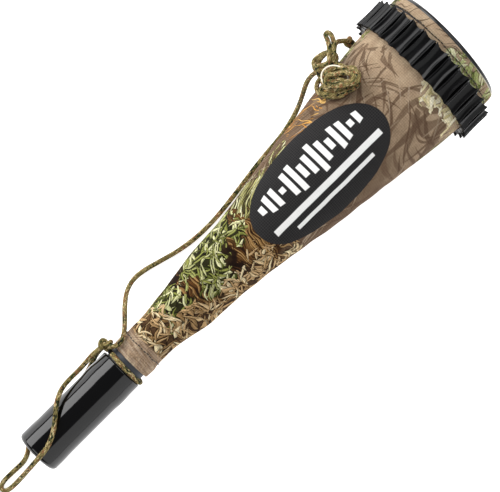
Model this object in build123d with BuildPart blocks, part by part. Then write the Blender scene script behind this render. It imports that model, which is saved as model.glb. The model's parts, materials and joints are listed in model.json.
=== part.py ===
"""A hunter's bugle tube lying on its side: a tapered horn in a fabric sleeve, with a
mouthpiece, a ribbed rubber band near the bell and a paracord lanyard.

Millimetres, +Z up. The tube lies along X, mouthpiece towards -X and bell towards +X.
It rests on the mouthpiece's lip and on the band, so its axis rises towards the bell.
A "station" is a distance along the tube's axis from the plane of the mouth.
"""

import os
from math import asin, atan2, cos, hypot, pi, radians, sin, sqrt, tan

from build123d import *

# ---- driving dimensions ----
# mouthpiece
MOUTH_LIP_R = 19.4  # outside, at the lip
MOUTH_BODY_R = 19.0
MOUTH_BULGE_R = 19.4  # outside, over the seal
MOUTH_LIP_ROUND = 3.6
MOUTH_END = 96.0  # station of the shoulder
MOUTH_SHOULDER_ROUND = 1.2
MOUTH_BORE_R = 14.6
BORE_LEAD = (5.0, 1.0)  # how deep and how wide the bore's flared entry is
LIP_TAPER = (12.0, 20.0)  # stations between which the lip's radius falls to the body's
BULGE_FLAT = 3.0  # half the length of the bulge's top
BULGE_FOOT = 9.0  # half the length of its foot
SOCKET_START = 60.0  # the socket's floor
SOCKET_FLOOR_GAP = 0.3  # between the neck's end and the socket's floor
RUNNING_GAP = 0.08  # radial, mouthpiece on neck

# seal
SEAL_STATION = 79.0
SEAL_R = 1.0  # radius of the ring's section
SEAL_PROUD = 0.6  # how far the seal stands out of the neck
SEAL_GROOVE_SLACK = 0.3  # each side of the seal, in the mouthpiece
NECK_GROOVE_DEPTH = 1.5
NECK_GROOVE_SLACK = 0.2  # each side of the seal, in the neck

# horn
NECK_R = 16.0
WALL = 2.0
HORN_END = 459.0
FLARE = [  # the sleeve's outside, from hem to hem
    (118.2, 17.4),
    (124, 17.2),
    (157, 21.2),
    (224, 28.0),
    (292, 38.2),
    (364, 47.6),
    (416, 53.5),
    (451.8, 54.3),
]
SLEEVE_THICK = 0.7
SEAM_GAP = 0.7  # between the horn and the sleeve, where the seam allowance lies

# bell rim
RIM_START = 454.0
RIM_END = 463.6
RIM_OUTER_R = 53.7
RIM_INNER_R = 48.6
RIM_ROUND = 2.4
CLIP_SLACK = 0.1  # between the horn's end and the rim's slot

# sleeve ends
NECK_HEM = (105.0, 118.0)  # stations
NECK_HEM_R = 18.0
NECK_HEM_THICK = 0.6
NECK_HEM_SLACK = 0.15  # between the hem and the horn
NECK_ELASTIC = (107.0, 113.0)  # stations
NECK_STITCH = 119.2
BELL_STITCH = 450.6
BELL_HEM = (452.0, 460.0)
BELL_HEM_R = 55.2
BELL_HEM_THICK = 0.5
BELL_HEM_SLACK = 0.1  # between the hem and the rim
BELL_ELASTIC = (453.5, 459.0)  # stations
ELASTIC_SLACK = 0.1  # between an elastic and its hem
HEM_ROUND = 0.8  # of the hem's thickness
STITCH_R = 0.3
STITCH_SHARE = 0.6  # of the stitch's pitch that its thread covers
NECK_STITCHES = 28
NECK_STITCH_RING_R = 17.8
BELL_STITCHES = 92
BELL_STITCH_GAP = 0.05  # between the thread and the sleeve
SEAM_ARC = 8.0  # degrees of the tube that the seam allowance covers
SEAM_SLACK = 0.12  # between the seam allowance and the fabric or horn either side
SEAM_ANGLE = 215.0  # degrees round the axis from the top, towards +Y

# ribbed band
BAND = (421.0, 449.0)  # stations
BAND_OUTER_R = 63.6
BAND_INNER_R = 54.9
BAND_PANELS = 30
SLIT_WIDTH = 1.4
SLIT_DEPTH = 4.0
DISH_R = 8.0  # radius of the hollow along each panel
DISH_DEPTH = 1.5

# lanyard tab
TAB_STATION = 411.0
TAB_ANGLE = 104.0  # degrees round the axis from the top, towards +Y
TAB_REACH = 57.3  # radius of the loop's middle
TAB_WIDTH = 6.0
TAB_STRAIGHT = 1.6  # between the centres of the loop's round ends
TAB_OUTER = 6.4  # across the loop
TAB_INNER = 4.8  # across the opening in it

# lanyard; places are (station, left of the axis, above the axis), and None lies on the floor
CORD_R = 2.0
BEND_SHARE = 0.45  # of a run that the arc at either end of it may take
TOP_KNOT = (411, 57.0, -12.5)
TOP_KNOT_R = 5.0
NECK_KNOT = (101, 21.5, 5)
NECK_KNOT_R = 5.3
WRAP_STATION = 98.4
WRAP_GAP = 0.05  # between the neck and the cord round it
HANK = (377, 45.8, 42.6)
HANK_LONG_R = 20.0
HANK_WIDE_R = 16.0
HANK_THICK = 20.0
HANK_ROUND = 7.0
BIGHT_ROOT = (386, 57, 33)
BIGHT_TIP = (401, 72, 25)
BIGHT_WIDE = 9.0
RING_OFFSET = 4.0
RING_R = 12.0
RING_THICK_R = 0.7
TOP_STRAND = [(411, 58.5, -11), (405.5, 63, -4), (400.5, 64, 5), (395, 61, 15), (388, 55, 25)]
MAIN_STRAND = [
    (378, 52, 33),
    (371, 59.5, 24),
    (363.5, 60.5, 4),
    (356, 56, -18),
    (349, 51, -38),
    (337, 46.5, None),
    (321, 43.3, None),
    (301, 41.6, None),
    (279, 39, None),
    (257, 35.6, None),
    (236, 33.2, None),
    (216, 32.8, None),
    (196, 35.2, None),
    (177, 39.6, None),
    (162, 43.6, None),
    (151, 44.3, -31),
    (141, 41, -24),
    (132.5, 34, -12),
    (125.5, 26.5, 0),
    (119, 19.6, 10),
    (112.5, 15.4, 16.4),
    (106, 15.4, 16.6),
    (101.5, 19.6, 9),
]
WRIST_LOOP = [
    (98, 23.2, 7),
    (90, 24.6, 3),
    (80, 23.8, 2),
    (70.5, 23.3, 2),
    (61, 23.5, 3.5),
    (51.5, 22.6, 8.5),
    (42.5, 18.2, 15),
    (34, 10.8, 20.4),
    (26, 3.8, 22.8),
    (17.5, -1.0, 23),
    (8.5, -3.2, 23.2),
    (-0.5, -3.8, 21.5),
    (-8.5, -4.3, 15.5),
    (-15.5, -4.7, 6.5),
    (-22, -5.0, -2.5),
    (-29, -5.3, -9.8),
    (-36.5, -5.0, None),
    (-42, -2.6, None),
    (-42.6, 2.4, None),
    (-37.5, 5.4, None),
    (-30, 6.0, None),
    (-21.5, 5.6, None),
    (-13, 4.8, None),
    (-5.5, 7.4, None),
    (2, 13.4, None),
    (10, 16.4, None),
    (20, 16.6, None),
    (33, 15.7, None),
    (47, 16.0, None),
    (60, 16.4, None),
    (71, 17.6, None),
    (81, 20.4, -20),
    (90, 23.2, -11),
    (98.5, 23.0, 0),
]

# ---- the tube's place ----
# The rest points are the lip's round and the ribs either side of the lowest panel.
rib_turn = asin(sqrt(DISH_DEPTH * (2 * DISH_R - DISH_DEPTH)) / BAND_OUTER_R)
lip_centre = (MOUTH_LIP_ROUND, MOUTH_LIP_R - MOUTH_LIP_ROUND)
band_foot = (BAND[0], BAND_OUTER_R * cos(rib_turn))
step_u = band_foot[0] - lip_centre[0]
step_r = band_foot[1] - lip_centre[1]
tilt = atan2(step_r, step_u) - asin(MOUTH_LIP_ROUND / hypot(step_u, step_r))
rim_centre = (RIM_END - RIM_ROUND, RIM_OUTER_R - RIM_ROUND)
low_x = cos(tilt) * lip_centre[0] - sin(tilt) * lip_centre[1] - MOUTH_LIP_ROUND
high_x = cos(tilt) * rim_centre[0] + sin(tilt) * rim_centre[1] + RIM_ROUND
mouth_x = -(low_x + high_x) / 2
mouth_z = MOUTH_LIP_ROUND + cos(tilt) * lip_centre[1] - sin(tilt) * lip_centre[0]

ALONG = Vector(cos(tilt), 0, sin(tilt))
UP = Vector(-sin(tilt), 0, cos(tilt))
LEFT = Vector(0, 1, 0)
MOUTH = Vector(mouth_x, 0, mouth_z)
AXIS = Axis(MOUTH, ALONG)
PROFILE = Plane(origin=MOUTH, x_dir=ALONG, z_dir=(0, -1, 0))  # x is the station, y the radius


def spot(station, left, up):
    """A point by its station and its distances left of and above the tube's axis."""
    return MOUTH + ALONG * station + LEFT * left + UP * up


def across(station, angle=0.0):
    """The plane across the tube at a station, its x pointing out at an angle from the top."""
    out = UP * cos(radians(angle)) + LEFT * sin(radians(angle))
    return Plane(origin=spot(station, 0, 0), x_dir=out, z_dir=ALONG)


def lengthwise(angle):
    """The half plane through the axis at an angle from the top, its y the radius."""
    out = UP * cos(radians(angle)) + LEFT * sin(radians(angle))
    return Plane(origin=MOUTH, x_dir=ALONG, z_dir=ALONG.cross(out))


os.makedirs("parts", exist_ok=True)


def save(part, name):
    part.label = name
    export_step(part, f"parts/{name}.step")
    print(name, round(part.volume))


def flare(offset):
    """The flared outline between the hems, at an offset from the sleeve's outside."""
    return [(u, r + offset) for u, r in FLARE]


# ---- mouthpiece ----
socket_r = NECK_R + RUNNING_GAP
groove_half = SEAL_R + SEAL_GROOVE_SLACK
with BuildPart() as mouthpiece:
    with BuildSketch(PROFILE):
        with BuildLine():
            Polyline(
                (0, MOUTH_BORE_R + BORE_LEAD[1]),
                (0, MOUTH_LIP_R),
                (LIP_TAPER[0], MOUTH_LIP_R),
                (LIP_TAPER[1], MOUTH_BODY_R),
                (SEAL_STATION - BULGE_FOOT, MOUTH_BODY_R),
                (SEAL_STATION - BULGE_FLAT, MOUTH_BULGE_R),
                (SEAL_STATION + BULGE_FLAT, MOUTH_BULGE_R),
                (SEAL_STATION + BULGE_FOOT, MOUTH_BODY_R),
                (MOUTH_END, MOUTH_BODY_R),
                (MOUTH_END, socket_r),
                (SEAL_STATION + groove_half, socket_r),
                (SEAL_STATION + groove_half, socket_r + SEAL_PROUD),
                (SEAL_STATION - groove_half, socket_r + SEAL_PROUD),
                (SEAL_STATION - groove_half, socket_r),
                (SOCKET_START, socket_r),
                (SOCKET_START, MOUTH_BORE_R),
                (BORE_LEAD[0], MOUTH_BORE_R),
                close=True,
            )
        make_face()
    revolve(axis=AXIS)
    rims = mouthpiece.edges().filter_by(GeomType.CIRCLE)
    lip_rims = rims.filter_by(lambda e: abs(e.radius - MOUTH_LIP_R) < 0.01)
    fillet(lip_rims.sort_by(Axis.X)[0], MOUTH_LIP_ROUND)
    rims = mouthpiece.edges().filter_by(GeomType.CIRCLE)
    body_rims = rims.filter_by(lambda e: abs(e.radius - MOUTH_BODY_R) < 0.01)
    fillet(body_rims.sort_by(Axis.X)[-1], MOUTH_SHOULDER_ROUND)
save(mouthpiece.part, "mouthpiece")

# ---- horn, one moulding with its neck ----
horn_offset = -SLEEVE_THICK - SEAM_GAP
with BuildPart() as horn_tube:
    with BuildSketch(PROFILE):
        with BuildLine():
            outer = Spline(flare(horn_offset))
            inner = Spline(flare(horn_offset - WALL))
            end_r = FLARE[-1][1] + horn_offset
            Polyline(outer @ 1, (HORN_END, end_r), (HORN_END, end_r - WALL), inner @ 1)
            Polyline(
                inner @ 0,
                (SOCKET_START + SOCKET_FLOOR_GAP, NECK_R - WALL),
                (SOCKET_START + SOCKET_FLOOR_GAP, NECK_R),
                outer @ 0,
            )
        make_face()
    revolve(axis=AXIS)
    with BuildSketch(PROFILE):
        with Locations((SEAL_STATION, NECK_R)):
            Rectangle(2 * (SEAL_R + NECK_GROOVE_SLACK), 2 * NECK_GROOVE_DEPTH)
    revolve(axis=AXIS, mode=Mode.SUBTRACT)
save(horn_tube.part, "horn_tube")

# ---- seal ring in the neck's groove ----
with BuildPart() as neck_seal:
    with BuildSketch(PROFILE):
        with Locations((SEAL_STATION, NECK_R + SEAL_PROUD - SEAL_R)):
            Circle(SEAL_R)
    revolve(axis=AXIS)
save(neck_seal.part, "neck_seal")

# ---- rim clipped over the horn's end ----
slot = (end_r - WALL - CLIP_SLACK, end_r + CLIP_SLACK)
with BuildPart() as bell_rim:
    with BuildSketch(PROFILE):
        with BuildLine():
            Polyline(
                (RIM_START, RIM_INNER_R),
                (RIM_END, RIM_INNER_R),
                (RIM_END, RIM_OUTER_R),
                (RIM_START, RIM_OUTER_R),
                (RIM_START, slot[1]),
                (HORN_END + CLIP_SLACK, slot[1]),
                (HORN_END + CLIP_SLACK, slot[0]),
                (RIM_START, slot[0]),
                close=True,
            )
        make_face()
    revolve(axis=AXIS)
    end_rims = bell_rim.faces().sort_by(Axis(MOUTH, ALONG))[-1].edges()
    fillet(end_rims.sort_by(SortBy.LENGTH)[-1], RIM_ROUND)
save(bell_rim.part, "bell_rim")

# ---- fabric sleeve ----
with BuildPart() as camo_sleeve:
    with BuildSketch(PROFILE):
        with BuildLine():
            outside = Spline(flare(0))
            inside = Spline(flare(-SLEEVE_THICK))
            Line(outside @ 0, inside @ 0)
            Line(outside @ 1, inside @ 1)
        make_face()
    revolve(axis=AXIS)
save(camo_sleeve.part, "camo_sleeve")

# ---- seam allowance, between horn and sleeve along the tube's back ----
with BuildPart() as sleeve_seam:
    with BuildSketch(lengthwise(SEAM_ANGLE)):
        with BuildLine():
            top = Spline(flare(-SLEEVE_THICK - SEAM_SLACK))
            under = Spline(flare(horn_offset + SEAM_SLACK))
            Line(top @ 0, under @ 0)
            Line(top @ 1, under @ 1)
        make_face()
    revolve(axis=AXIS, revolution_arc=SEAM_ARC)
save(sleeve_seam.part, "sleeve_seam")


# ---- hems: a channel of fabric open towards the horn, with an elastic in it ----
def hem(name, stations, inner_r, outer_r, thick):
    start, end = stations
    with BuildPart() as piece:
        with BuildSketch(PROFILE):
            with BuildLine():
                Polyline(
                    (start, inner_r),
                    (start, outer_r),
                    (end, outer_r),
                    (end, inner_r),
                    (end - thick, inner_r),
                    (end - thick, outer_r - thick),
                    (start + thick, outer_r - thick),
                    (start + thick, inner_r),
                    close=True,
                )
            make_face()
        revolve(axis=AXIS)
        outside = piece.edges().filter_by(GeomType.CIRCLE)
        fillet(outside.filter_by(lambda e: abs(e.radius - outer_r) < 0.01), thick * HEM_ROUND)
    save(piece.part, name)


def elastic(name, stations, inner_r, outer_r):
    with BuildPart() as piece:
        with BuildSketch(PROFILE):
            with Locations((sum(stations) / 2, (inner_r + outer_r) / 2)):
                Rectangle(stations[1] - stations[0], outer_r - inner_r)
        revolve(axis=AXIS)
    save(piece.part, name)


neck_hem_in = NECK_R + NECK_HEM_SLACK
bell_hem_in = RIM_OUTER_R + BELL_HEM_SLACK
hem("neck_hem", NECK_HEM, neck_hem_in, NECK_HEM_R, NECK_HEM_THICK)
hem("bell_hem", BELL_HEM, bell_hem_in, BELL_HEM_R, BELL_HEM_THICK)
elastic("neck_elastic", NECK_ELASTIC, neck_hem_in, NECK_HEM_R - NECK_HEM_THICK - ELASTIC_SLACK)
elastic("bell_elastic", BELL_ELASTIC, bell_hem_in, BELL_HEM_R - BELL_HEM_THICK - ELASTIC_SLACK)


# ---- stitching, a row of thread round each hem ----
def stitching(name, station, radius, count):
    length = STITCH_SHARE * 2 * pi * radius / count
    with BuildPart(across(station)) as piece:
        with PolarLocations(radius, count):
            Cylinder(STITCH_R, length, rotation=(90, 0, 0))
    save(piece.part, name)


bell_ring_r = FLARE[-1][1] + STITCH_R + BELL_STITCH_GAP
stitching("neck_stitching", NECK_STITCH, NECK_STITCH_RING_R, NECK_STITCHES)
stitching("bell_stitching", BELL_STITCH, bell_ring_r, BELL_STITCHES)

# ---- ribbed rubber band: dished panels with a slit between each two ----
with BuildPart() as ribbed_band:
    with BuildSketch(across(BAND[0])):
        Circle(BAND_OUTER_R)
        with PolarLocations(BAND_OUTER_R, BAND_PANELS, start_angle=180 / BAND_PANELS):
            Rectangle(2 * SLIT_DEPTH, SLIT_WIDTH, mode=Mode.SUBTRACT)
        with PolarLocations(BAND_OUTER_R + DISH_R - DISH_DEPTH, BAND_PANELS):
            Circle(DISH_R, mode=Mode.SUBTRACT)
        Circle(BAND_INNER_R, mode=Mode.SUBTRACT)
    extrude(amount=BAND[1] - BAND[0])
save(ribbed_band.part, "ribbed_band")

# ---- tab that holds the lanyard, a webbing loop on the sleeve's left flank ----
tab_plane = across(TAB_STATION - TAB_WIDTH / 2, TAB_ANGLE)
with BuildPart() as lanyard_tab:
    with BuildSketch(tab_plane):
        with Locations((TAB_REACH, 0)):
            SlotCenterToCenter(TAB_STRAIGHT, TAB_OUTER)
            SlotCenterToCenter(TAB_STRAIGHT, TAB_INNER, mode=Mode.SUBTRACT)
    extrude(amount=TAB_WIDTH)
save(lanyard_tab.part, "lanyard_tab")


# ---- lanyard, 4 mm cord ----
def floor_height(station):
    """How far above the axis a cord that lies on the floor runs, a negative number."""
    return (CORD_R + 0.02 - MOUTH.Z - station * ALONG.Z) / UP.Z


def cord(name, route):
    """A tube of straight runs and the largest tangent arcs that they allow."""
    points = [spot(u, y, floor_height(u) if h is None else h) for u, y, h in route]
    runs = [b - a for a, b in zip(points, points[1:])]
    radii = []
    for before, after in zip(runs, runs[1:]):
        half_turn = radians(before.get_angle(after)) / 2
        radii.append(BEND_SHARE * min(before.length, after.length) / tan(half_turn))
    with BuildPart() as piece:
        with BuildLine() as path:
            line = FilletPolyline(*points, radius=radii)
        with BuildSketch(Plane(origin=points[0], z_dir=runs[0])):
            Circle(CORD_R)
        sweep(path=path.line)
    print(name, "length", round(line.length, 1))
    save(piece.part, name)


def knot(name, place, radius):
    with BuildPart(Plane(origin=spot(*place))) as piece:
        Sphere(radius)
    save(piece.part, name)


knot("lanyard_top_knot", TOP_KNOT, TOP_KNOT_R)
knot("lanyard_neck_knot", NECK_KNOT, NECK_KNOT_R)
cord("lanyard_top_strand", TOP_STRAND)
cord("lanyard_main_strand", MAIN_STRAND)
cord("wrist_loop", WRIST_LOOP)

with BuildPart() as neck_wrap:
    with BuildSketch(PROFILE):
        with Locations((WRAP_STATION, NECK_R + CORD_R + WRAP_GAP)):
            Circle(CORD_R)
    revolve(axis=AXIS)
save(neck_wrap.part, "neck_wrap")

# the hank: loops of cord in a flat bundle against the tube's flank, with one bight standing out
hank_out = (LEFT * HANK[1] + UP * HANK[2]).normalized()
hank_down = ALONG.cross(hank_out) * -1
hank_plane = Plane(origin=spot(*HANK) - hank_out * HANK_THICK / 2, x_dir=hank_down, z_dir=hank_out)
bight_run = spot(*BIGHT_TIP) - spot(*BIGHT_ROOT)
bight_side = hank_out.cross(bight_run).normalized()
bight_face = bight_run.cross(bight_side).normalized()
bight_plane = Plane(origin=(spot(*BIGHT_ROOT) + spot(*BIGHT_TIP)) / 2, x_dir=bight_run, z_dir=bight_face)
with BuildPart() as lanyard_hank:
    with BuildSketch(hank_plane):
        Ellipse(HANK_LONG_R, HANK_WIDE_R)
    extrude(amount=HANK_THICK)
    fillet(lanyard_hank.edges(), HANK_ROUND)
    with BuildSketch(bight_plane):
        SlotCenterToCenter(bight_run.length, BIGHT_WIDE)
    extrude(amount=CORD_R, both=True)
save(lanyard_hank.part, "lanyard_hank")

ring_plane = Plane(origin=spot(*HANK) + hank_down * RING_OFFSET, x_dir=hank_out, z_dir=hank_down)
with BuildPart(ring_plane) as hank_ring:
    Torus(RING_R, RING_THICK_R)
save(hank_ring.part, "hank_ring")
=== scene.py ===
import json
from math import cos, pi, radians, sin, sqrt

import bmesh
import bpy
import numpy as np
from mathutils import Matrix, Vector


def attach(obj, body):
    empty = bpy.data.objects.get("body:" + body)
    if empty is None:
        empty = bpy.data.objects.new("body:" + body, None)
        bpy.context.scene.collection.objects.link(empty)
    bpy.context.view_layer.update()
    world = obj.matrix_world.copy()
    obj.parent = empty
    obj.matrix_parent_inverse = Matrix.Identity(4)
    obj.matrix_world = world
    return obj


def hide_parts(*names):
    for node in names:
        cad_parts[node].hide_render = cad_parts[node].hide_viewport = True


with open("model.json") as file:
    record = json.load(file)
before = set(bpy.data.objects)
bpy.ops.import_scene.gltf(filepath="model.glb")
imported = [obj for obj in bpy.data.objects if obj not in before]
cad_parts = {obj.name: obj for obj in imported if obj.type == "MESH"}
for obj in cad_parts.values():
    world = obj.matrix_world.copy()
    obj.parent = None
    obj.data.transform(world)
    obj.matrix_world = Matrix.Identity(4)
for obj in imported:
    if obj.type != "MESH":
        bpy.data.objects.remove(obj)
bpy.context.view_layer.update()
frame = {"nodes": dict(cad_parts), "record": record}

# A mouth-blown bugle tube in a camouflage sleeve. Metres, in the frame's own axes.
# A place on the tube is (station, left, up) in millimetres: the distance along its axis from
# the plane of the mouth, then the distances left of and above that axis.
MM = 0.001
scene = bpy.context.scene

# ---- the tube's axis, from the bell's bore ----
mounts = {m["name"]: m for m in frame["record"]["mounts"]}
BELL_BORE_STATION = 458.8  # the middle of the rim's bore
ALONG = Vector(mounts["bell_bore"]["axis"]).normalized()
LEFT = Vector((0, 1, 0))
UP = ALONG.cross(LEFT)
MOUTH = Vector(mounts["bell_bore"]["pos_m"]) - ALONG * BELL_BORE_STATION * MM


def spot(station, left, up):
    return MOUTH + (ALONG * station + LEFT * left + UP * up) * MM


def placed(name, data):
    made = bpy.data.objects.new(name, data)
    scene.collection.objects.link(made)
    return made


# ---- camera, square above the tube, rolled so that the tube lies on the picture's diagonal ----
CAMERA_STATION = 196.6
CAMERA_LEFT = -2.9
CAMERA_HEIGHT = 1516.0
AIM_STATION = 237.4
PICTURE_WIDTH = 400.0  # millimetres across at the tube's axis
SENSOR = 36.0
camera_data = bpy.data.cameras.new("camera")
camera = placed("camera", camera_data)
camera_place = spot(CAMERA_STATION, CAMERA_LEFT, CAMERA_HEIGHT)
back = (camera_place - spot(AIM_STATION, CAMERA_LEFT, 0)).normalized()
right = (ALONG * 0.706 + LEFT * 0.708).cross(back).normalized()
camera.matrix_world = Matrix((right, back.cross(right), back)).transposed().to_4x4()
camera.location = camera_place
camera_data.sensor_width = SENSOR
camera_data.lens = SENSOR * CAMERA_HEIGHT / PICTURE_WIDTH
camera_data.clip_end = 10
scene.camera = camera

# ---- mesh helpers ----
SEAM = radians(215)  # where the cloth's edges meet, from the top towards the left
TURN = 2 * pi


def around(count):
    """Angles spread evenly round one turn."""
    return np.linspace(0, TURN, count + 1)[:-1]


def uv_grid(down, across):
    return np.stack(np.meshgrid(down, across, indexing="ij"), axis=-1)


def rings(line, sides, ups, count, radius):
    """Rings of points square to a line, one round each of its points."""
    turn = around(count)[None, :, None]
    return line[:, None] + (sides[:, None] * np.cos(turn) + ups[:, None] * np.sin(turn)) * radius


def face_out(piece, change=None):
    """Turns a piece's faces outwards, after a change to its mesh if one is given."""
    bm = bmesh.new()
    bm.from_mesh(piece.data)
    if change:
        change(bm)
    bmesh.ops.recalc_face_normals(bm, faces=bm.faces)
    bm.to_mesh(piece.data)
    bm.free()


def grid_piece(name, points, uvs, closed=True, sharp=None):
    """A piece over rows of points, each row a ring. Closed, its last row joins its first.

    uvs has a column more than points, and a row more if the piece is closed.
    """
    rows, columns = points.shape[:2]
    i, j = np.meshgrid(np.arange(rows if closed else rows - 1), np.arange(columns), indexing="ij")
    corners = [(i, j), (i, j + 1), (i + 1, j + 1), (i + 1, j)]
    faces = np.stack([(a % rows) * columns + b % columns for a, b in corners], axis=-1)
    mesh = bpy.data.meshes.new(name)
    mesh.from_pydata(points.reshape(-1, 3).tolist(), [], faces.reshape(-1, 4).tolist())
    layer = mesh.uv_layers.new(name="cloth")
    layer.data.foreach_set("uv", np.stack([uvs[a, b] for a, b in corners], axis=-2).ravel())
    mesh.polygons.foreach_set("use_smooth", [True] * len(mesh.polygons))
    if sharp is not None:
        mesh.set_sharp_from_angle(angle=radians(sharp))
    piece = placed(name, mesh)
    if closed:
        face_out(piece)
    return piece


def on_axis(station, radius, angle):
    """Places from arrays of stations, radii and angles from the top towards the left."""
    vectors = [np.array(v) for v in (ALONG, LEFT, UP)]
    parts = (station, radius * np.sin(angle), radius * np.cos(angle))
    shape = np.broadcast(*parts).shape
    total = sum(np.broadcast_to(p, shape)[..., None] * v for p, v in zip(parts, vectors))
    return np.array(MOUTH) + total * MM


def join(name, pieces):
    """Makes one piece of several."""
    bm = bmesh.new()
    for piece in pieces:
        bm.from_mesh(piece.data)
    mesh = bpy.data.meshes.new(name)
    bm.to_mesh(mesh)
    bm.free()
    for piece in pieces:
        old = piece.data
        bpy.data.objects.remove(piece)
        bpy.data.meshes.remove(old)
    return placed(name, mesh)


def arc(station, radius, size, start, end, steps=7):
    """Profile points on a round of a given size, angles in degrees from the bell's direction."""
    return [
        (station + size * cos(radians(a)), radius + size * sin(radians(a)))
        for a in np.linspace(start, end, steps)
    ]


def ease(start, end, r0, r1, steps=9):
    """Profile points that pass smoothly from one radius to another."""
    return [
        (start + (end - start) * t, r0 + (r1 - r0) * (3 * t * t - 2 * t**3))
        for t in np.linspace(0, 1, steps)
    ]


def lathe(name, profile, columns=128, sharp=35):
    """A closed profile of (station, radius) turned round the tube's axis."""
    profile = np.array(profile)
    points = on_axis(profile[:, :1], profile[:, 1:], around(columns))
    run = np.append(0, np.cumsum(np.hypot(*np.diff(np.vstack([profile, profile[:1]]), axis=0).T)))
    girth = np.linspace(0, TURN, columns + 1) * profile[:, 1].max()
    return grid_piece(name, points, uv_grid(run, girth), sharp=sharp)


# ---- cords ----
# routes are (station, left, up); a place without a height lies on the floor
CORD = 4.0  # diameter
CORD_SIDES = 24
CORD_STEP = 0.62
BRAID_AROUND = 8  # yarns of each hand round the cord
BRAID_LAY = 24.0  # millimetres along the cord for a yarn's whole turn round it
YARN_HEIGHT = 0.1  # how far the yarns stand out, a share of the cord's radius
TOP_STRAND = [(411, 58.5, -11), (405.5, 63, -4), (400.5, 64, 5), (395, 61, 15), (388, 55, 25)]
MAIN_STRAND = [
    (378, 52, 33), (371, 58, 24), (363.5, 58.8, 4), (356, 54.6, -18), (349, 50.6, -38),
    (337, 46.5), (321, 43.3), (301, 41.6), (279, 39), (257, 35.6),
    (236, 33.2), (216, 32.8), (196, 35.2), (177, 40.4), (162, 44.5),
    (151, 45.2, -31), (141, 41.8, -24), (132.5, 34.5, -12), (125.5, 26.5, 0), (119, 19.6, 10),
    (112.5, 15.4, 16.4), (106, 15.4, 16.6), (101.5, 19.6, 9),
]
WRIST_LOOP = [
    (98, 23.2, 7), (90, 24.6, 3), (80, 23.8, 2), (70.5, 23.3, 2), (61, 23.5, 3.5),
    (51.5, 22.6, 8.5),
    (42.5, 18.2, 15), (34, 10.8, 20.4), (26, 3.8, 22.8), (17.5, -1, 23), (8.5, -3.2, 23.2),
    (-0.5, -3.8, 21.5), (-8.5, -4.3, 15.5), (-15.5, -4.7, 6.5), (-22, -5, -2.5), (-29, -5.3, -9.8),
    (-36.5, -5), (-41, -3.6), (-41.6, 0.6), (-37, 3), (-30, 3.2),
    (-21.5, 2.8), (-13, 2.6), (-5.5, 6), (2, 13.4), (10, 16.4),
    (20, 16.6), (33, 15.7), (47, 16), (60, 16.4), (71, 17.6),
    (81, 20.4, -20), (90, 23.2, -11), (98.5, 23, 0),
]
# the bight that stands out of the hank
BIGHT = [
    (384, 53, 36), (389, 57, 36), (394, 61.5, 34), (397.6, 66, 32), (399.6, 70.2, 29.5),
    (398.8, 73.6, 28), (396, 73.2, 28), (394.4, 69, 30.5), (390.8, 63.4, 33.5),
    (386, 59, 36.5), (381, 54, 38.5),
]
# the hank's turns, in millimetres to the picture's right, up it, and above the sleeve: each
# turn's middle, its half length and half width, its lean in degrees and its two heights
HANK_MIDDLE = (377, 45.8)  # station, left
HANK_TURNS = [
    (-7.5, 11.5, 7.5, 5.6, 50, 4, 6),
    (-6, 13, 9, 5.8, 28, 7, 9),
    (-4.5, 9.5, 9.5, 6.4, 62, 9, 12),
    (-2, -9, 11, 8, -12, 3, 5),
    (1.5, -12, 12, 6, 14, 4, 8),
    (9.5, -1, 12.5, 6.8, -28, 6, 9),
    (1, -3, 9.5, 8.8, 40, 9, 12),
    (8, -3, 14, 5.6, 12, 10, 14),
    (3.5, 2.5, 9, 5, -48, 13, 13),
    (9, -2, 14, 6.2, -10, 14, 17),
    (4, -5, 11, 5.2, 6, 17, 18),
]
TURN_POINTS = 14
TURN_FROM = 0.8 * pi  # where in a turn the next one takes over
HANK_LIFT = 0.3  # the hank's clearance over the sleeve
HANK_FALL = 38.0  # beyond this far left the hank hangs straight on from the sleeve
HANK_SLOPE = 0.9


def floor_height(station):
    """How far above the axis a cord that lies on the floor runs, a negative number."""
    return (CORD / 2 + 0.02 - MOUTH.z / MM - station * ALONG.z) / UP.z


def places(route):
    return [spot(u, y, *(h or [floor_height(u)])) for u, y, *h in route]


def centreline(points):
    """Points along the NURBS line that the route's points control."""
    data = bpy.data.curves.new("line", "CURVE")
    data.dimensions = "3D"
    spline = data.splines.new("NURBS")
    spline.points.add(len(points) - 1)
    for control, place in zip(spline.points, points):
        control.co = (*place, 1)
    spline.order_u = 3
    spline.use_endpoint_u = True
    spline.resolution_u = 16
    curve = placed("line", data)
    mesh = bpy.data.meshes.new_from_object(curve)
    line = np.array([v.co[:] for v in mesh.vertices])
    bpy.data.objects.remove(curve)
    bpy.data.curves.remove(data)
    bpy.data.meshes.remove(mesh)
    return line


def spaced(line, step):
    """The line's points again, a step apart, and its length."""
    reach = np.append(0, np.cumsum(np.linalg.norm(np.diff(line, axis=0), axis=1)))
    at = np.linspace(0, reach[-1], max(2, round(reach[-1] / step) + 1))
    return np.stack([np.interp(at, reach, line[:, i]) for i in range(3)], axis=1), reach[-1]


def carried_sides(line):
    """Two directions square to the line at each point, turned as little as the line allows."""
    ahead = np.gradient(line, axis=0)
    ahead /= np.linalg.norm(ahead, axis=1)[:, None]
    side = np.cross(ahead[0], [0.31, 0.2, 0.93])
    sides = []
    for t in ahead:
        side = side - t * side.dot(t)
        side = side / np.linalg.norm(side)
        sides.append(side)
    sides = np.array(sides)
    return sides, np.cross(ahead, sides)


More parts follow.
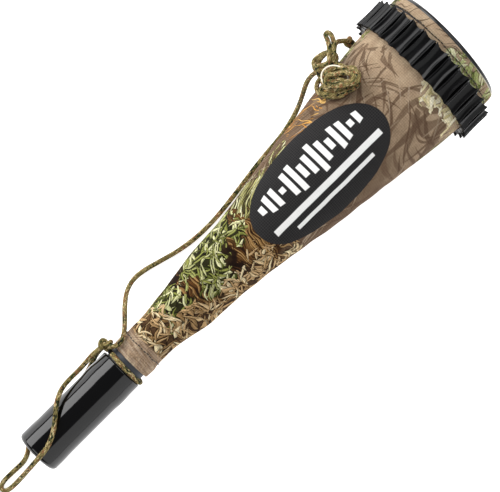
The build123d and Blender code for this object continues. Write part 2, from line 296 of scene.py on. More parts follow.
def braided(name, line, diameter=CORD):
    """A braided cord along a line of points."""
    line, length = spaced(line, CORD_STEP * MM)
    turn = around(CORD_SIDES) / TURN
    along = np.linspace(0, length, len(line)) / MM
    one_hand = BRAID_AROUND * (turn + along[:, None] / BRAID_LAY)
    other_hand = BRAID_AROUND * (turn - along[:, None] / BRAID_LAY)
    yarn = np.sqrt(np.abs(np.sin(pi * one_hand) * np.sin(pi * other_hand)))
    unevenness = 1 + 0.03 * np.sin(along / 7.3)[:, None]
    radius = diameter / 2 * MM * (0.93 + YARN_HEIGHT * yarn) * unevenness
    surface = rings(line, *carried_sides(line), CORD_SIDES, radius[..., None])
    uvs = uv_grid(along, np.linspace(0, 1, CORD_SIDES + 1))
    piece = grid_piece(name, surface, uvs, closed=False)

    def cap(bm):
        corners = list(bm.verts)
        bm.faces.new(corners[:CORD_SIDES])
        bm.faces.new(corners[: -CORD_SIDES - 1 : -1])

    face_out(piece, cap)
    return piece, line, float(length)


def smooth_curve(points):
    """The natural cubic through (x, y) points, as a function of an array of x."""
    x, y = np.array(points, dtype=float).T
    h = np.diff(x)
    system = np.eye(len(x))
    wanted = np.zeros(len(x))
    for i in range(1, len(x) - 1):
        system[i, i - 1 : i + 2] = h[i - 1], 2 * (h[i - 1] + h[i]), h[i]
        wanted[i] = 6 * ((y[i + 1] - y[i]) / h[i] - (y[i] - y[i - 1]) / h[i - 1])
    bend = np.linalg.solve(system, wanted)

    def value(at):
        at = np.asarray(at, dtype=float)
        i = np.clip(np.searchsorted(x, at) - 1, 0, len(h) - 1)
        a, b = x[i + 1] - at, at - x[i]
        return (
            bend[i] * a**3 / (6 * h[i]) + bend[i + 1] * b**3 / (6 * h[i])
            + (y[i] / h[i] - bend[i] * h[i] / 6) * a
            + (y[i + 1] / h[i] - bend[i + 1] * h[i] / 6) * b
        )

    return value


# ---- the tube's outlines ----
FLARE = [
    (118.2, 17.4), (124, 17.2), (157, 21.2), (224, 28.0), (292, 38.2), (364, 47.6), (416, 53.5),
    (451.8, 54.3),
]
SLEEVE_THICK = 0.7
HORN_INSET = 1.4  # from the sleeve's outside to the horn's
WALL = 2.0
sleeve_radius = smooth_curve(FLARE)
SLEEVE_START, SLEEVE_END = FLARE[0][0], FLARE[-1][0]


def hank_place(x, y, height):
    """A place in the hank, right of and up the picture from its middle, above the sleeve."""
    station = HANK_MIDDLE[0] + (x + y) / sqrt(2)
    left = HANK_MIDDLE[1] + (y - x) / sqrt(2)
    radius = float(sleeve_radius(min(station, SLEEVE_END))) + CORD / 2 + HANK_LIFT
    inner = min(left, HANK_FALL)
    up = sqrt(radius**2 - inner**2) - HANK_SLOPE * (left - inner)
    return station, left, up + height


def hank_turns():
    """The hank's route, turn after turn, each easing into the next."""
    route = []
    for now, after in zip(HANK_TURNS, HANK_TURNS[1:] + HANK_TURNS[-1:]):
        for k in range(TURN_POINTS):
            t = k / TURN_POINTS
            x, y, long, wide, lean, low, high = (a + (b - a) * t for a, b in zip(now, after))
            angle = TURN * t + TURN_FROM
            c, s = cos(angle), sin(angle)
            # powers below one make the turn fuller than an ellipse
            px = long * abs(c) ** 0.8 * (1 if c > 0 else -1)
            py = wide * abs(s) ** 0.9 * (1 if s > 0 else -1)
            tip = radians(lean)
            x, y = x + px * cos(tip) - py * sin(tip), y + px * sin(tip) + py * cos(tip)
            height = low + (high - low) * (0.5 - 0.5 * cos(angle * 1.5))
            route.append(hank_place(x, y, height))
    return route


lanyard_route = TOP_STRAND + BIGHT + hank_turns() + MAIN_STRAND
main_cord, main_line, main_length = braided("lanyard_cord", centreline(places(lanyard_route)))
wrist_cord, wrist_line, wrist_length = braided("wrist_cord", centreline(places(WRIST_LOOP)))

# most of one turn round the neck
NECK_R = 16.0
WRAP_STATION = 99.0
WRAP_WANDER = 0.7  # along the tube, small enough to clear the mouthpiece
WRAP_STEPS = 26
WRAP_START = radians(62)  # from the top towards the left
WRAP_R = NECK_R + 2.2  # at the cord's centre
wrap_route = []
for k in range(WRAP_STEPS):
    angle = TURN * k / WRAP_STEPS
    wrap_route.append((
        WRAP_STATION + WRAP_WANDER * sin(angle + 0.6),
        WRAP_R * sin(WRAP_START + angle), WRAP_R * cos(WRAP_START + angle),
    ))
wrap_cord, wrap_line, wrap_length = braided("neck_wrap_cord", centreline(places(wrap_route)))
KNOT_STEPS = 96
KNOT_TILT = radians(50)
KNOT_CORD = CORD * 0.92  # drawn tight, the cord is thinner


def knot(name, place, size, lean):
    """An overhand knot drawn tight, as a tube on a trefoil line."""
    t = np.linspace(0, TURN, KNOT_STEPS)
    x = np.sin(t) + 2 * np.sin(2 * t)
    y = np.cos(t) - 2 * np.cos(2 * t)
    z = -1.5 * np.sin(3 * t)
    turned = np.array(Matrix.Rotation(radians(lean), 3, "Z") @ Matrix.Rotation(KNOT_TILT, 3, "X"))
    line = np.stack([x, y, z], axis=1) @ turned.T * size * MM + np.array(spot(*place))
    return braided(name, line, KNOT_CORD)[0]


top_knot = knot("top_knot_cord", (411, 57, -12.5), 1.15, 20)
neck_knot = knot("neck_knot_cord", (100.5, 22.5, 7), 1.6, -40)

# the elastic ring round the hank, over its top and under its lowest turns
RING_STEPS, RING_SIDES = 72, 12
RING_THICK = 1.3
RING_MIDDLE = (0.8, -2.6)  # right and up from the hank's middle
RING_HALF = (10.0, 9.6)  # half its length and half its width
RING_LEAN = 1.5
RING_LOW, RING_RISE = 3.0, 15.5
ring_line = []
for k in range(RING_STEPS):
    angle = TURN * k / RING_STEPS
    lift = 0.5 + 0.5 * sin(angle - 0.5)
    x = RING_MIDDLE[0] + RING_HALF[0] * cos(angle) - RING_LEAN * sin(angle)
    y = RING_MIDDLE[1] + RING_HALF[1] * sin(angle)
    ring_line.append(spot(*hank_place(x, y, RING_LOW + RING_RISE * lift ** 0.6))[:])
ring_line = np.array(ring_line)
ahead = np.roll(ring_line, -1, axis=0) - np.roll(ring_line, 1, axis=0)
ahead /= np.linalg.norm(ahead, axis=1)[:, None]
ring_side = np.cross(ahead, np.array(UP))
ring_side /= np.linalg.norm(ring_side, axis=1)[:, None]
ring_up = np.cross(ring_side, ahead)
hank_ring = grid_piece(
    "hank_elastic_ring", rings(ring_line, ring_side, ring_up, RING_SIDES, RING_THICK / 2 * MM),
    uv_grid(np.arange(RING_STEPS + 1.0), np.linspace(0, 1, RING_SIDES + 1)),
)

# ---- hard pieces turned on the axis ----
MOUTH_END = 96.0
MOUTH_LIP_R, MOUTH_BODY_R, MOUTH_BULGE_R = 19.4, 19.0, 19.55
MOUTH_BORE_R = 14.6
MOUTH_LIP_ROUND, MOUTH_SHOULDER_ROUND = 3.6, 1.2
SOCKET_START, SOCKET_R = 60.0, 16.08
SEAL_GROOVE, SEAL_GROOVE_R = (77.7, 80.3), 16.68
NECK_GROOVE, NECK_GROOVE_R = (77.8, 80.2), NECK_R - 1.5
SHOULDER_R = MOUTH_BODY_R + 0.15
mouthpiece = lathe("mouthpiece_tube", [
    (5, MOUTH_BORE_R), (2, MOUTH_BORE_R + 0.35), (0.3, MOUTH_BORE_R + 1.0),
    *arc(MOUTH_LIP_ROUND, MOUTH_LIP_R - MOUTH_LIP_ROUND, MOUTH_LIP_ROUND, 180, 90, 12),
    *ease(10, 22, MOUTH_LIP_R, MOUTH_BODY_R), (45, MOUTH_BODY_R),
    *ease(67, 76, MOUTH_BODY_R, MOUTH_BULGE_R), *ease(79, 87, MOUTH_BULGE_R, SHOULDER_R),
    *arc(MOUTH_END - MOUTH_SHOULDER_ROUND, SHOULDER_R - MOUTH_SHOULDER_ROUND,
         MOUTH_SHOULDER_ROUND, 90, 0),
    (MOUTH_END, SOCKET_R), (SEAL_GROOVE[1], SOCKET_R), (SEAL_GROOVE[1], SEAL_GROOVE_R),
    (SEAL_GROOVE[0], SEAL_GROOVE_R), (SEAL_GROOVE[0], SOCKET_R),
    (SOCKET_START, SOCKET_R), (SOCKET_START, MOUTH_BORE_R),
], sharp=40)

HORN_START, HORN_END = SOCKET_START + 0.3, 459.0
horn_stations = np.linspace(SLEEVE_START, SLEEVE_END, 60)
horn_outside = [(u, r) for u, r in zip(horn_stations, sleeve_radius(horn_stations) - HORN_INSET)]
horn_inside = [(u, r - WALL) for u, r in horn_outside]
horn_end_r = horn_outside[-1][1]
horn = lathe("horn_moulding", [
    (HORN_START, NECK_R - WALL), (HORN_START, NECK_R),
    (NECK_GROOVE[0], NECK_R), (NECK_GROOVE[0], NECK_GROOVE_R),
    (NECK_GROOVE[1], NECK_GROOVE_R), (NECK_GROOVE[1], NECK_R),
    *horn_outside, (HORN_END, horn_end_r), (HORN_END, horn_end_r - WALL), *horn_inside[::-1],
])
RIM_START, RIM_END = 454.0, 463.6
RIM_OUTER_R, RIM_INNER_R, RIM_ROUND = 53.7, 48.6, 2.4
RIM_CHAMFER = 0.5
RIM_PLAY = 0.1  # between the rim's slot and the horn's end
rim = lathe("bell_rim_moulding", [
    (RIM_START, RIM_INNER_R),
    (RIM_END - RIM_CHAMFER, RIM_INNER_R), (RIM_END, RIM_INNER_R + RIM_CHAMFER),
    *arc(RIM_END - RIM_ROUND, RIM_OUTER_R - RIM_ROUND, RIM_ROUND, 0, 90, 10),
    (RIM_START, RIM_OUTER_R), (RIM_START, horn_end_r + RIM_PLAY),
    (HORN_END + RIM_PLAY, horn_end_r + RIM_PLAY),
    (HORN_END + RIM_PLAY, horn_end_r - WALL - RIM_PLAY),
    (RIM_START, horn_end_r - WALL - RIM_PLAY),
], columns=192)

# ---- cloth ----
NECK_HEM, BELL_HEM = (105.0, 118.0), (452.0, 460.0)
HEM_THICK = 0.6
CLOTH_COLUMNS = 192
NECK_HEM_FLAT_R = 18.0
EDGE_STEPS = 3  # points that round off a cut edge
NECK_HEM_R, NECK_HEM_ROLL = 18.1, 0.35
NECK_HEM_TUCK = 0.75  # how far it is drawn in towards the sleeve
NECK_STITCH, BELL_STITCH = 119.0, 452.2  # stations of the two rows of stitches
SLEEVE_SHOWS = 119.6  # where the neck hem's shape gives way to the sleeve's
BULGE = (127, 6.5, 0.55)  # beside the neck hem: station, reach along the tube, height
GATHER_HEIGHT, GATHER_FADE = 0.5, 17
WRINKLED = (128, 160, 330, 410)  # creases begin, are full, begin to fade, are gone
CREASE_HEIGHT, SLACK_HEIGHT = 0.3, 0.35
SAG = (168, 20, 1.1)  # station, reach along the tube, depth
TAUT_FROM, TAUT_R = 414, 54.35  # under the band the cloth lies tight
rng = np.random.default_rng(11)


def ripple_set(count, turns, wave):
    """Seeded ripples: how many times each goes round the tube, along it, and its phase."""
    return [
        (int(rng.integers(turns[0], turns[1] + 1)) * (1 if rng.random() < 0.5 else -1),
         TURN / rng.uniform(*wave), rng.uniform(0, TURN))
        for _ in range(count)
    ]


def ripple(ripples, station, angle):
    return sum(np.cos(m * angle + k * station + p) for m, k, p in ripples) / sqrt(len(ripples))


GATHERS = ripple_set(7, (7, 15), (60, 140))
CREASES = ripple_set(9, (2, 7), (22, 60))
SLACK = ripple_set(6, (1, 4), (70, 160))


def step_up(value, low, high):
    t = np.clip((value - low) / (high - low), 0, 1)
    return t * t * (3 - 2 * t)


def cloth_radius(station, angle):
    """The cloth's outside: the flare with its hems, gathers at the neck and slack creases."""
    station, angle = np.broadcast_arrays(np.asarray(station, float), np.asarray(angle, float))
    roll = np.sin(pi * (station - NECK_HEM[0]) / (NECK_HEM[1] - NECK_HEM[0]))
    tuck = step_up(station, 113, NECK_STITCH)
    neck = NECK_HEM_R + NECK_HEM_ROLL * roll - NECK_HEM_TUCK * tuck
    sleeve = sleeve_radius(np.clip(station, SLEEVE_SHOWS, SLEEVE_END))
    radius = np.where(station < SLEEVE_SHOWS, neck, sleeve)
    radius += BULGE[2] * np.exp(-((station - BULGE[0]) / BULGE[1]) ** 2)
    near_neck = np.exp(-np.abs(station - NECK_STITCH) / GATHER_FADE)
    radius += GATHER_HEIGHT * near_neck * ripple(GATHERS, station, angle)
    middle = step_up(station, *WRINKLED[:2]) * (1 - step_up(station, *WRINKLED[2:]))
    radius += CREASE_HEIGHT * middle * ripple(CREASES, station, angle)
    radius += SLACK_HEIGHT * middle * ripple(SLACK, station, angle)
    sag = np.exp(-((station - SAG[0]) / SAG[1]) ** 2)
    radius += SAG[2] * sag * np.clip(-np.sin(angle), -0.8, 1)
    return np.where(station > TAUT_FROM, np.minimum(radius, TAUT_R), radius)


CLOTH_ANGLES = SEAM + np.linspace(0, TURN, CLOTH_COLUMNS + 1) - TURN


def cloth_piece(name, stations, radius, flat_radius):
    """A loop of cloth round the tube; its weave is laid out flat in its UVs."""
    points = on_axis(stations, radius[:, :-1], CLOTH_ANGLES[:-1])
    flat = np.broadcast_to(flat_radius, radius.shape) * CLOTH_ANGLES
    uvs = np.stack([np.broadcast_to(stations, radius.shape), flat], axis=-1)
    return grid_piece(name, points, np.concatenate([uvs, uvs[:1]]))


def cloth_tube(name, stations, thick):
    """A tube of cloth, its two cut ends rounded."""
    edge = thick / 2
    bends = np.linspace(0, pi, EDGE_STEPS + 2)[1:-1]
    loop_u = np.concatenate([
        stations, stations[-1] + edge * np.sin(bends) * 0.6,
        stations[::-1], stations[0] - edge * np.sin(bends) * 0.6,
    ])[:, None]
    loop_in = np.concatenate([
        np.zeros(len(stations)), edge * (1 - np.cos(bends)),
        np.full(len(stations), thick), edge * (1 + np.cos(bends)),
    ])[:, None]
    radius = cloth_radius(np.clip(loop_u, stations[0], stations[-1]), CLOTH_ANGLES)
    flat = sleeve_radius(np.clip(loop_u, SLEEVE_START, SLEEVE_END))
    flat = np.where(loop_u < SLEEVE_SHOWS, NECK_HEM_FLAT_R, flat)
    return cloth_piece(name, loop_u, radius - loop_in, flat)


sleeve = cloth_tube("sleeve_cloth", np.linspace(SLEEVE_START, SLEEVE_END, 226), SLEEVE_THICK)
neck_hem = cloth_tube("neck_hem_cloth", np.linspace(*NECK_HEM, 22), HEM_THICK)

# the bell hem rolls over its elastic, puckered along its stitches
BELL_HEM_R, BELL_HEM_ROLL, BELL_HEM_HALF = 54.38, 0.75, 4.6
BELL_HEM_FLAT_R = 54.4
PUCKERS, PUCKER_HEIGHT, PUCKER_FADE = 46, 0.1, 3
hem_u = np.linspace(*BELL_HEM, 15)[:, None]
hem_bow = ((hem_u - sum(BELL_HEM) / 2) / BELL_HEM_HALF) ** 2
hem_roll = BELL_HEM_ROLL * np.sqrt(np.clip(1 - hem_bow, 0, 1))
pucker = PUCKER_HEIGHT * np.cos(PUCKERS * CLOTH_ANGLES)
hem_outer = BELL_HEM_R + hem_roll + pucker * np.exp(-np.abs(hem_u - BELL_HEM[0]) / PUCKER_FADE)
hem_inner = np.full_like(hem_outer, RIM_OUTER_R + 0.1)
bell_hem = cloth_piece("bell_hem_cloth", np.concatenate([hem_u, hem_u[::-1]]),
                       np.concatenate([hem_outer, hem_inner]), BELL_HEM_FLAT_R)

# ---- stitches, short rounded threads laid on the cloth ----
THREAD = 0.42  # radius
THREAD_SIDES = 6
STITCH_SHARE = 0.8  # of the pitch from one stitch to the next
STITCH_WANDER = 0.35
NECK_STITCHES, BELL_STITCHES = 34, 100
NECK_STITCH_LIFT, BELL_STITCH_R = 0.25, 54.75


def stitches(name, station, count, radius_at):
    """A row of stitches round the tube, each a bowed thread that dips into the cloth."""
    pieces = []
    t = np.linspace(-0.5, 0.5, 7)
    size = THREAD * MM * np.sqrt(1 - (1.9 * t) ** 2 * 0.98)
    uvs = uv_grid(t * 3, np.linspace(0, 1, THREAD_SIDES + 1))
    for k in range(count):
        angle = TURN * (k + STITCH_SHARE * t) / count
        wander = STITCH_WANDER * np.sin(5 * angle + 0.7 * k)
        radius = radius_at(station, angle) + THREAD * (0.7 - 2.2 * t**2)
        line = on_axis(station + wander, radius, angle)
        points = rings(line, *carried_sides(line), THREAD_SIDES, size[:, None, None])
        pieces.append(grid_piece(f"{name}_{k}", points, uvs, closed=False))
    row = join(name, pieces)
    face_out(row, lambda bm: bmesh.ops.holes_fill(bm, edges=bm.edges, sides=THREAD_SIDES))
    return row


neck_stitches = stitches("neck_stitch_thread", NECK_STITCH, NECK_STITCHES,
                         lambda u, a: cloth_radius(u, a) + NECK_STITCH_LIFT)
bell_stitches = stitches("bell_stitch_thread", BELL_STITCH, BELL_STITCHES,
                         lambda u, a: np.full_like(a, BELL_STITCH_R))

# the bell's end isn't quite square: it sits back, and its right-hand side further than its left
END_BACK, END_SKEW = 0.3, 0.034
for piece in (rim, bell_hem, bell_stitches):
    for vertex in piece.data.vertices:
        vertex.co += ALONG * (END_SKEW * vertex.co.y - END_BACK * MM)

# ---- ribbed band: dished panels with a slit between each two ----
BAND = (421.0, 449.0)
BAND_OUTER_R, BAND_INNER_R = 63.6, 54.9
PANELS = 30
SLIT_HALF = 0.45  # millimetres, at a slit's ends
SLIT_OPEN = 1.1  # how much further each side of a slit opens half-way along it
SLIT_DEPTH = 5.0
DISH_DEPTH = 3.2
RIDGE_ROUND = 0.9
SCALLOP = 2.2  # how far the panels' ends draw back between the ribs
BAND_ROUND = 1.0
BAND_SKEW = 0.026  # the band sits a little askew
panel_width = TURN * BAND_OUTER_R / PANELS
across_half = np.concatenate([
    [0, SLIT_HALF * 0.6, SLIT_HALF * 0.98],
    SLIT_HALF + RIDGE_ROUND * np.array([0, 0.15, 0.4, 0.7, 1.0, 1.5]),
    np.linspace(SLIT_HALF + RIDGE_ROUND * 2.2, panel_width / 2, 6),
])
across_panel = np.unique(np.round(np.append(across_half, panel_width - across_half), 5))[:-1]
band_rng = np.random.default_rng(5)
slit_shift = band_rng.uniform(-0.7, 0.7, PANELS + 1)  # the slits aren't quite evenly spaced
slit_bow = band_rng.uniform(-0.8, 0.8, PANELS + 1)  # and they bow a little
panel_lean = band_rng.uniform(-0.35, 0.35, PANELS)
slit_shift[-1], slit_bow[-1] = slit_shift[0], slit_bow[0]
columns = []
for k in range(PANELS):
    for x in across_panel:
        t = x / panel_width
        inside = min(x, panel_width - x)
        mid = 2 * t - 1
        if inside < SLIT_HALF:
            radius = BAND_OUTER_R - SLIT_DEPTH * (1 - 0.3 * (inside / SLIT_HALF) ** 3)
            draw = SCALLOP * 0.6
        else:
            climb = (inside - SLIT_HALF) / (panel_width / 2 - SLIT_HALF)
            edge = max(0, 1 - (inside - SLIT_HALF) / RIDGE_ROUND)
            radius = BAND_OUTER_R - DISH_DEPTH * (1 - (1 - climb) ** 2.6) - 0.8 * edge**2
            radius += panel_lean[k] * mid * (1 - mid**4)
            draw = SCALLOP * (1 - abs(mid) ** 2.0)
        place = (k + t) * panel_width + (1 - t) * slit_shift[k] + t * slit_shift[k + 1]
        open_by = SLIT_OPEN * min(1, inside / SLIT_HALF)
        bow = (1 - t) * (slit_bow[k] + open_by) + t * (slit_bow[k + 1] - open_by)
        columns.append((place / BAND_OUTER_R + pi / PANELS, radius, draw, bow / BAND_OUTER_R))
band_angle, band_radius, band_draw, band_bow = np.array(columns).T
flank = np.abs(np.sin(band_angle)) ** 4
half = (BAND[1] - BAND[0]) / 2 + 0.5 - 0.8 * flank
rows_u, rows_r = [], []


def round_off(side, turns):
    for a in np.radians(turns):
        rows_u.append(side * (half - band_draw - BAND_ROUND * (1 - np.sin(a))))
        rows_r.append(band_radius - BAND_ROUND * (1 - np.cos(pi / 2 - a)))


round_off(-1, np.linspace(0, 90, 6))
for t in np.linspace(-1, 1, 15)[1:-1]:
    rows_u.append((half - band_draw - BAND_ROUND) * t)
    rows_r.append(band_radius - 0.3 * (1 - t * t))
round_off(1, np.linspace(90, 0, 6))
for t in np.linspace(1, -1, 7):
    rows_u.append((half - SCALLOP - 0.4) * t)
    rows_r.append(np.full_like(band_radius, BAND_INNER_R))
rows_u, rows_r = np.array(rows_u), np.array(rows_r)
bowing = np.cos(rows_u / ((BAND[1] - BAND[0]) / 2) * pi / 2)
turned_angle = band_angle + band_bow * bowing
rows_u = rows_u + sum(BAND) / 2 + BAND_SKEW * rows_r * np.sin(band_angle)
band_points = on_axis(rows_u, rows_r, turned_angle)
band_uvs = np.stack([
    np.pad(rows_u, ((0, 1), (0, 1)), mode="wrap"),
    np.broadcast_to(np.append(band_angle, band_angle[0] + TURN) * BAND_OUTER_R,
                    (len(rows_u) + 1, len(band_angle) + 1)),
], axis=-1)
band = grid_piece("rubber_band", band_points, band_uvs, sharp=60)

# ---- materials ----


def colour(code):
    """Linear colour from a six-digit display colour."""
    c = [int(code[i : i + 2], 16) / 255 for i in (0, 2, 4)]
    return (*[v / 12.92 if v <= 0.04045 else ((v + 0.055) / 1.055) ** 2.4 for v in c], 1)


class Paint:
    """A Principled material and short ways to build its nodes."""

    def __init__(self, name, **fixed):
        self.material = bpy.data.materials.new(name)
        self.material.use_nodes = True
        self.tree = self.material.node_tree
        self.shader = self.tree.nodes["Principled BSDF"]
        self.wire(**fixed)

    def feed(self, node, inputs):
        """Links or sets a node's inputs; text is a display colour."""
        for key, value in inputs.items():
            if isinstance(value, bpy.types.NodeSocket):
                self.tree.links.new(value, node.inputs[key])
            elif value is not None:
                value = colour(value) if isinstance(value, str) else value
                node.inputs[key].default_value = value

    def node(self, kind, inputs={}, **settings):
        made = self.tree.nodes.new("ShaderNode" + kind)
        for key, value in settings.items():
            setattr(made, key, value)
        self.feed(made, inputs)
        return made

    def math(self, operation, a, b=None, c=None):
        return self.node("Math", {0: a, 1: b, 2: c}, operation=operation).outputs[0]

    def times(self, a, b):
        return self.math("MULTIPLY", a, b)

    def mad(self, a, b, c):
        """a times b, plus c."""
        return self.math("MULTIPLY_ADD", a, b, c)

    def minus(self, a, b):
        return self.math("SUBTRACT", a, b)

    def size(self, a):
        return self.math("ABSOLUTE", a)

    def sine(self, a):
        return self.math("SINE", a)

    def vector(self, operation, a, b=None, c=None):
        return self.node("VectorMath", {0: a, 1: b, 2: c}, operation=operation).outputs[0]

    def join(self, x, y):
        return self.node("CombineXYZ", {0: x, 1: y}).outputs[0]

    def split(self, v):
        return self.node("SeparateXYZ", {0: v}).outputs

    def step(self, value, low, high):
        """Rises smoothly from 0 at low to 1 at high."""
        return self.node("MapRange", {0: value, 1: low, 2: high},
                         interpolation_type="SMOOTHSTEP").outputs[0]

    def within(self, value, low, high, soft):
        rise = self.step(value, low - soft, low + soft)
        fall = self.step(value, high + soft, high - soft)
        return self.times(rise, fall)

    def mix(self, share, a, b, blend="MIX"):
        made = self.node("Mix", {0: share, 6: a, 7: b}, data_type="RGBA", blend_type=blend)
        return made.outputs[2]

    def ramp(self, value, stops, how="LINEAR"):
        made = self.node("ValToRGB", {0: value})
        ramp = made.color_ramp
        ramp.interpolation = how
        while len(ramp.elements) < len(stops):
            ramp.elements.new(0.5)
        for element, (place, code) in zip(ramp.elements, stops):
            element.position = place
            element.color = colour(code)
        return made.outputs[0]

    def noise(self, vector, scale, detail=2, rough=0.5):
        return self.node("TexNoise", {"Vector": vector, "Scale": scale, "Detail": detail,
                                      "Roughness": rough}).outputs

    def cells(self, vector):
        return self.node("TexVoronoi", {"Vector": vector, "Scale": 1.0},
                         voronoi_dimensions="2D").outputs

    def coords(self):
        return self.node("TexCoord").outputs["Object"]

    def cloth(self):
        return self.node("UVMap", uv_map="cloth").outputs[0]

    def turned(self, vector, angle, length, width):
        """The vector in cells of a length and width that lie at an angle, in degrees."""
        return self.node("Mapping", {
            "Vector": vector, "Rotation": (0, 0, radians(angle)), "Scale": (length, width, 1),
        }, vector_type="TEXTURE").outputs[0]

    def bump(self, height, distance, strength, under=None):
        return self.node("Bump", {"Height": height, "Distance": distance, "Strength": strength,
                                  "Normal": under}).outputs[0]

    def wire(self, **inputs):
        self.feed(self.shader, {key.replace("_", " "): value for key, value in inputs.items()})
        return self.material


def dress(piece, material):
    piece.data.materials.clear()
    piece.data.materials.append(material)


# gloss plastic, polished, with faint handling marks
def gloss_plastic():
    p = Paint("gloss_plastic", Base_Color="050506", IOR=1.5)
    spread = p.noise(p.coords(), 90, 4, 0.6)[0]
    drawn_out = p.node("Mapping", {"Vector": p.coords(), "Scale": (1, 9, 9)}).outputs[0]
    marks = p.noise(drawn_out, 260, 2)[0]
    rough = p.mad(spread, 0.05, 0.055)
    rough = p.mad(p.step(marks, 0.62, 0.74), 0.05, rough)
    return p.wire(Roughness=rough, Normal=p.bump(spread, 0.00004, 0.3))


def satin_plastic(name, code, rough_at):
    p = Paint(name, IOR=1.46)
    grain = p.noise(p.coords(), 900, 3, 0.6)[0]
    wear = p.noise(p.coords(), 60, 4, 0.6)[0]
    worn = (*[1.35 * c for c in colour(code)[:3]], 1)
    tone = p.mix(p.step(wear, 0.35, 0.75), code, worn)
    return p.wire(Base_Color=tone, Roughness=p.mad(wear, 0.12, rough_at),
                  Normal=p.bump(grain, 0.00005, 0.5))


def band_rubber():
    p = Paint("band_rubber", IOR=1.5, Specular_IOR_Level=0.2)
    place = p.coords()
    wear = p.noise(place, 70, 5, 0.65)[0]
    grain = p.noise(place, 1400, 2)[0]
    streak = p.noise(p.turned(p.cloth(), 0, 40, 0.6), 1, 3, 0.6)[0]
    tone = p.mix(p.step(wear, 0.45, 0.8), "070708", "111113")
    rough = p.mad(streak, 0.1, 0.16)
    normal = p.bump(grain, 0.00003, 0.4, p.bump(streak, 0.00005, 0.3))
    return p.wire(Base_Color=tone, Roughness=rough, Normal=normal)


YARNS = [
    (0, "15130a"), (0.13, "343c20"), (0.24, "7c7043"), (0.4, "9b8c59"), (0.52, "74603a"),
    (0.62, "bda97a"), (0.7, "8d6340"), (0.78, "5f613a"), (0.86, "1c2717"), (0.93, "d0bf90"),
]


def braid():
    """Camouflage paracord: yarns of two hands cross, in flecks of olive, tan, brown and black."""
    p = Paint("cord_braid", Roughness=0.82, IOR=1.4, Specular_IOR_Level=0.25)
    along, around, _ = p.split(p.cloth())
    one, other = [
        p.times(p.mad(along, hand / BRAID_LAY, around), BRAID_AROUND) for hand in (1, -1)
    ]
    cell = p.join(p.math("FLOOR", one), p.math("FLOOR", other))
    fleck = p.node("TexWhiteNoise", {"Vector": cell}, noise_dimensions="2D").outputs[0]
    patch = p.cells(p.turned(p.join(along, p.times(around, 4)), 0, 5.5, 1))
    wide = p.split(patch[1])[0]
    pick = p.mad(fleck, 0.36, p.times(wide, 0.64))
    tone = p.ramp(pick, YARNS, "CONSTANT")
    ridge = p.times(p.sine(p.times(one, pi)),
                   p.sine(p.times(other, pi)))
    ridge = p.math("POWER", p.size(ridge), 0.5)
    # painted shade: the hollows between the yarns, where the ridge is low, are darkened towards
    # near black
    tone = p.mix(p.step(ridge, 0.55, 0.1), tone, "120f07")
    threads = p.sine(p.times(one, TURN * 3))
    height = p.mad(threads, 0.12, ridge)
    return p.wire(Base_Color=tone, Normal=p.bump(height, 0.0004, 0.8))


def thread_black():
    p = Paint("black_thread", Roughness=0.7, Sheen_Weight=0.2)
    along, around, _ = p.split(p.cloth())
    twist = p.sine(p.mad(along, 9, p.times(around, TURN)))
    # painted light and shade: the thread is lighter on the crowns of its twist and darker in its
    # grooves
    tone = p.mix(p.step(twist, -0.2, 0.9), "060606", "1d1b19")
    return p.wire(Base_Color=tone, Normal=p.bump(twist, 0.0001, 0.6))


def soft_rubber():
    p = Paint("cream_elastic", Roughness=0.55, IOR=1.45)
    mottle = p.noise(p.coords(), 700, 3)[0]
    tone = p.mix(mottle, "e6d8bf", "f6eedd")
    return p.wire(Base_Color=tone, Normal=p.bump(mottle, 0.00008, 0.5))


# ---- the printed cloth ----


def blade_group():
    """A node group that paints one layer of pointed leaves or blades over a colour."""
    group = bpy.data.node_groups.new("blades", "ShaderNodeTree")
    for kind, names in (
        ("Color", "Tone Low Mid High"), ("Vector", "Place Size Shift"),
        ("Float", "Where Angle Cut Crisp Dark Fill Strength"),
    ):
        for name in names.split():
            group.interface.new_socket(name, in_out="INPUT", socket_type="NodeSocket" + kind)
    group.interface.new_socket("Tone", in_out="OUTPUT", socket_type="NodeSocketColor")
    p = Paint.__new__(Paint)
    p.tree = group
    given = group.nodes.new("NodeGroupInput").outputs
    # leaning on the colour so far keeps Cycles from holding every layer at once
    place = p.vector("MULTIPLY_ADD", given["Tone"], (1e-6,) * 3, given["Place"])
    place = p.vector("SUBTRACT", place, given["Shift"])
    place = p.node("VectorRotate", {"Vector": place, "Angle": given["Angle"]},
                   rotation_type="Z_AXIS").outputs[0]
    place = p.vector("DIVIDE", place, given["Size"])
    cell = p.cells(place)
    chance, shade, _ = p.split(cell[1])
    dx, dy, _ = p.split(p.vector("SUBTRACT", place, cell[2]))
    lens = p.mad(p.size(dy), 1.5, p.times(p.times(dx, dx), 3.2))
    cut = p.times(given["Cut"], p.mad(shade, 0.5, 0.7))
    shape = p.step(p.minus(lens, cut), 0, p.times(given["Crisp"], -1))
    wanted = p.times(given["Where"], given["Fill"])
    shown = p.times(p.math("LESS_THAN", chance, wanted), given["Strength"])
    gloom = p.step(p.minus(lens, cut), 0.3, 0)
    gloom = p.times(p.times(gloom, shown), given["Dark"])
    under = p.mix(gloom, given["Tone"], "130d08")
    body = p.mix(p.step(shade, 0, 0.5), given["Low"], given["Mid"])
    body = p.mix(p.step(shade, 0.5, 1), body, given["High"])
    lit = p.mad(p.step(dy, -0.06, 0.06), 0.55, 0.62)
    lit = p.node("CombineColor", {0: lit, 1: lit, 2: lit}).outputs[0]
    body = p.mix(p.times(given["Dark"], 0.9), body, p.mix(1, body, lit, "MULTIPLY"))
    done = p.mix(p.times(shape, shown), under, body)
    group.links.new(done, group.nodes.new("NodeGroupOutput").inputs["Tone"])
    return group


